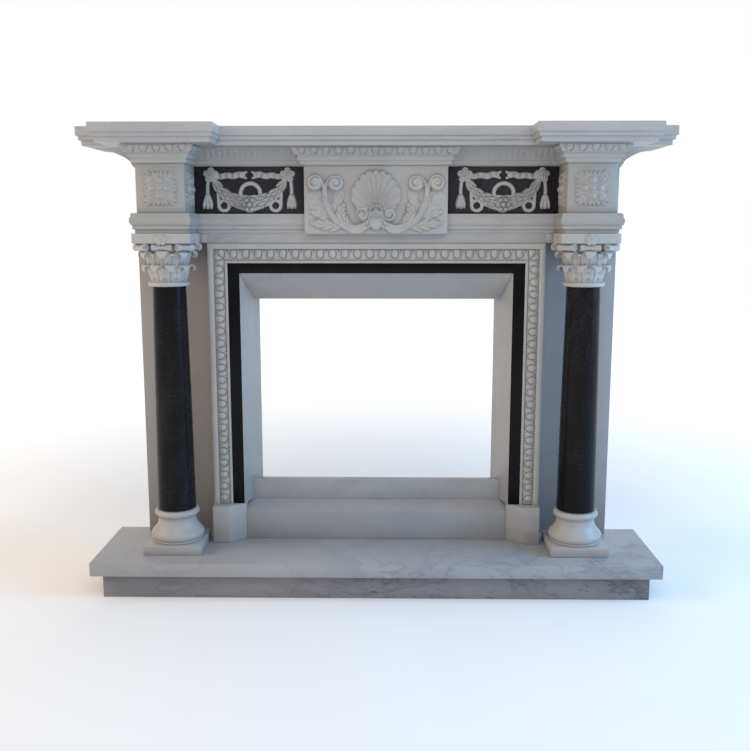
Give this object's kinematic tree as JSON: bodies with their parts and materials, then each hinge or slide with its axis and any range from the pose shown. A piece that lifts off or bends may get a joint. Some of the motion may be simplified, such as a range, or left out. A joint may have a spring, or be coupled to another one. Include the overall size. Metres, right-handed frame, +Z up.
{
  "type": "fireplace mantel",
  "caption": "Marble fireplace mantel with dark columns and carved capitals, shell and swag frieze, egg and dart frame, splayed reveals and a moulded shelf on a raised hearth.",
  "frame": {"origin": "centre of the bounding box at the floor, under the hearth", "axes": "+X along the shelf to its right end as seen from the room, -Y out into the room, +Y into the wall, +Z up"},
  "size_m": [1.48, 0.295, 1.1905],
  "materials": {
    "white_marble": "honed",
    "veined_marble": "honed, with faint grey veins",
    "black_granite": "polished"
  },
  "bodies": {
    "root": {"hearth_base": "veined_marble", "hearth_slab": "veined_marble", "column_base_left": "white_marble", "column_base_right": "white_marble", "column_shaft_left": "black_granite", "column_shaft_right": "black_granite", "capital_left": "white_marble", "capital_right": "white_marble", "side_panel_left": "white_marble", "side_panel_right": "white_marble", "foot_block_left": "white_marble", "foot_block_right": "white_marble", "frame_leg_left": "white_marble", "frame_leg_right": "white_marble", "frame_head": "white_marble", "slip_leg_left": "black_granite", "slip_leg_right": "black_granite", "slip_head": "black_granite", "reveal_left": "white_marble", "reveal_right": "white_marble", "reveal_head": "white_marble", "lower_riser": "veined_marble", "upper_riser": "veined_marble", "lintel": "white_marble", "lintel_end_left": "white_marble", "lintel_end_right": "white_marble", "architrave_run_left": "white_marble", "architrave_run_right": "white_marble", "architrave_block_left": "white_marble", "architrave_block_right": "white_marble", "architrave_end_left": "white_marble", "architrave_end_right": "white_marble", "frieze_core_left": "white_marble", "frieze_core_right": "white_marble", "frieze_panel_left": "black_granite", "frieze_panel_right": "black_granite", "swag_left": "white_marble", "swag_right": "white_marble", "end_block_left": "white_marble", "end_block_right": "white_marble", "centre_panel": "white_marble", "bed_mould_centre": "white_marble", "bed_mould_run_left": "white_marble", "bed_mould_run_right": "white_marble", "bed_mould_block_left": "white_marble", "bed_mould_block_right": "white_marble", "bed_mould_end_left": "white_marble", "bed_mould_end_right": "white_marble", "shelf": "white_marble"}
  },
  "joints": []
}
